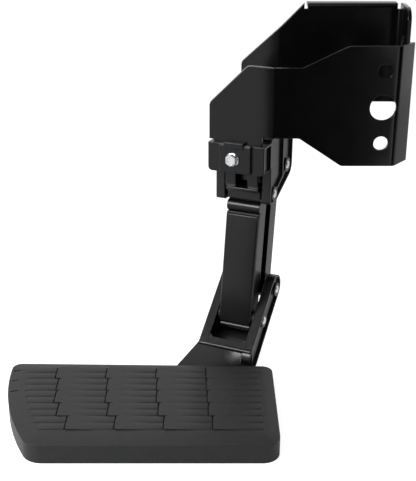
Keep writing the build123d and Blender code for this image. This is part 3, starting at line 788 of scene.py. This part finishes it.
# %% [markdown]
# A front sheet runs down the arm, past the lower pivot, and ends over a second roll. It stands a
# little proud of the solid's own face, so the solid needs no cut there, and its front edges are
# rounded as a pressing's are.

# %% Front sheet and lower roll
ARM_LENGTH = 167.7
SHEET_FRONT = -13.0
SHEET_BACK = -7.0
SHEET_TOP = -30.0
SHEET_END = -ARM_LENGTH - 8.0
SHEET_EDGE = 2.2
ROLL_R = 3.7
ROLL_LONG = 2 * ARM_HALF - 3
ROLL_AT = (0, -7.4, -ARM_LENGTH - 11.2)

arm_back = BACK * math.cos(ARM_LEAN) - UP * math.sin(ARM_LEAN)
arm_up = ACROSS.cross(arm_back)
sheet_middle = (SHEET_FRONT + SHEET_BACK) / 2
arm_face = bmesh.new()
sheet = block(arm_face, (-ARM_HALF, SHEET_FRONT, SHEET_END), (ARM_HALF, SHEET_BACK, SHEET_TOP))
round_edges(arm_face, edges_of(sheet, lambda co: co.y < sheet_middle), SHEET_EDGE)
round_bar(arm_face, ROLL_R, ROLL_LONG, "Y", ROLL_AT, sides=28)
arm_face.transform(stand(PIVOT, ACROSS, arm_back, arm_up))
dress(arm_face, "front_arm_face", "front_arm", cast)
front_arm_body = dress(arm, "front_arm_body", "front_arm", cast)
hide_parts("front_arm")

# %% [markdown]
# The rear arm is a channel too, and a short web near its top closes part of it. A small bridge
# behind the two stops closes the hinge, so no light shows through from the front. Both are plain
# blocks, because they are seen only as dark places.

# %% Rear arm web and stop bridge
REAR_PIN = (0, 46, 25)
BRIDGE_LOW = (-14, -9, 16)
BRIDGE_HIGH = (14, -6, 34)
REAR_WEB_LOW = (-9.5, -3, -62)
REAR_WEB_HIGH = (9.5, 2, -15)
REAR_WEB_ROUND = 1.5

bridge = bmesh.new()
block(bridge, BRIDGE_LOW, BRIDGE_HIGH)
bridge.transform(HINGE)
dress(bridge, "stop_bridge", "frame_bracket", cast)

web = bmesh.new()
block(web, REAR_WEB_LOW, REAR_WEB_HIGH)
web_middle = (REAR_WEB_LOW[2] + REAR_WEB_HIGH[2]) / 2
round_edges(web, edges_of(web.verts, lambda co: co.z < web_middle), REAR_WEB_ROUND)
web.transform(stand(at_hinge(*REAR_PIN), ACROSS, arm_back, arm_up))
dress(web, "rear_arm_web", "rear_arm", cast)

# %% [markdown]
# ## Clamp bolts
# The clamp is drawn tight by hex flange bolts. A real one has a thin coned flange, six flats with
# chamfered corners and a shallow dish in its head. Flange and head each start from a circle that is
# extruded and drawn in step by step, because every step is then one line of rise and shrink.

# %% Hex flange bolts
BOLT_FLAT = 13.0
BOLT_FLANGE = 8.4
FLANGE_STEPS = ((0.7, 1.0), (0.35, 0.97), (0.6, 0.86))
HEAD_STEPS = ((5.2, 1.0), (0.7, 0.9), (0.0, 0.72), (-0.5, 0.94))
HEAD_UP = 1.0
STEM_TIP_R = 3.4
STEM_R = 4.0
STEM_IN_HEAD = 0.2
FRONT_BOLT = (-4.0, -43.0, 52.0)
FRONT_SHANK = 21.8
REAR_BOLTS = ((-24.0, 68.0, 62.0), (4.0, 68.0, 62.0))
REAR_SHANK = 11.8


def grow(mesh, cap, steps):
    """Raise a cap and draw it in, step by step."""
    for rise, shrink in steps:
        verts, caps = push(mesh, [cap], rise)
        bmesh.ops.scale(mesh, vec=(shrink, shrink, 1), verts=verts)
        cap = caps[0]


def flange_bolt(mesh, place, shank):
    """One bolt whose seat is the frame's ground and whose head points along its Z."""
    part = bmesh.new()
    flange = bmesh.ops.create_circle(part, cap_ends=True, segments=36, radius=BOLT_FLANGE)["verts"]
    grow(part, flange[0].link_faces[0], FLANGE_STEPS)
    corner = BOLT_FLAT / 2 / math.cos(math.pi / 6)
    head = bmesh.ops.create_circle(part, cap_ends=True, segments=6, radius=corner)["verts"]
    bmesh.ops.translate(part, vec=(0, 0, HEAD_UP), verts=head)
    grow(part, head[0].link_faces[0], HEAD_STEPS)
    radii = {"radius1": STEM_TIP_R, "radius2": STEM_R}
    stem = bmesh.ops.create_cone(part, cap_ends=True, segments=20, depth=shank, **radii)["verts"]
    bmesh.ops.translate(part, vec=(0, 0, -shank / 2 + STEM_IN_HEAD), verts=stem)
    part.transform(place)
    data = bpy.data.meshes.new("bolt")
    part.to_mesh(data)
    part.free()
    mesh.from_mesh(data)
    bpy.data.meshes.remove(data)


clamp = bmesh.new()
flange_bolt(clamp, stand(at_hinge(*FRONT_BOLT), ACROSS, UP, -BACK), FRONT_SHANK)
front_bolt = dress(clamp, "clamp_bolt_front", "frame_bracket", zinc)
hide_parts("front_clamp_bolt")
clamp = bmesh.new()
for seat in REAR_BOLTS:
    flange_bolt(clamp, stand(at_hinge(*seat), -ACROSS, UP, BACK), REAR_SHANK)
rear_bolts = dress(clamp, "clamp_bolts_rear", "frame_bracket", zinc)
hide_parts("rear_clamp_bolts")

# %% [markdown]
# ## The torsion spring
# A wire spring sits round the rear upper pin. Its coil stays on the bracket and one leg follows the
# rear arm, so the two are separate pieces: the coil is a small ring spun round the pin while it
# climbs, and the legs are straight lengths of the same wire. The leg that moves lies beside the
# coil, so that it clears it in every pose.

# %% Spring coil and leg
COIL_R = 6.7
WIRE_R = 1.2
WIRE_SIDES = 12
COIL_PITCH = 2.9
COIL_TURNS = 5
LEG = 17.5
LEG_BESIDE = 2.1 * WIRE_R
STEPS_IN_TURN = 22
WIRE_SHARP = math.radians(50)
coil_half = COIL_PITCH * COIL_TURNS / 2
SPRING = stand(at_hinge(*REAR_PIN), BACK, UP, ACROSS)

coil = bmesh.new()
ring = bmesh.ops.create_circle(coil, cap_ends=False, segments=WIRE_SIDES, radius=WIRE_R)["verts"]
bmesh.ops.rotate(coil, cent=(0, 0, 0), matrix=Matrix.Rotation(QUARTER_TURN, 3, "X"), verts=ring)
bmesh.ops.translate(coil, vec=(COIL_R, 0, -coil_half), verts=ring)
bmesh.ops.spin(
    coil,
    geom=coil.verts[:] + coil.edges[:],
    cent=(0, 0, 0),
    axis=(0, 0, 1),
    dvec=(0, 0, COIL_PITCH / STEPS_IN_TURN),
    angle=2 * math.pi * COIL_TURNS,
    steps=STEPS_IN_TURN * COIL_TURNS,
    use_merge=False,
)
bmesh.ops.holes_fill(coil, edges=[edge for edge in coil.edges if edge.is_boundary], sides=0)
round_bar(coil, WIRE_R, LEG, "X", (COIL_R, LEG / 2, coil_half), WIRE_SIDES)
coil.transform(SPRING)
spring_coil = dress(coil, "spring_coil", "frame_bracket", spring_steel, WIRE_SHARP)
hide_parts("hold_spring")
leg = bmesh.new()
round_bar(leg, WIRE_R, LEG, "X", (COIL_R, -LEG / 2, -coil_half - LEG_BESIDE), WIRE_SIDES)
leg.transform(SPRING)
dress(leg, "spring_leg", "rear_arm", spring_steel, WIRE_SHARP)
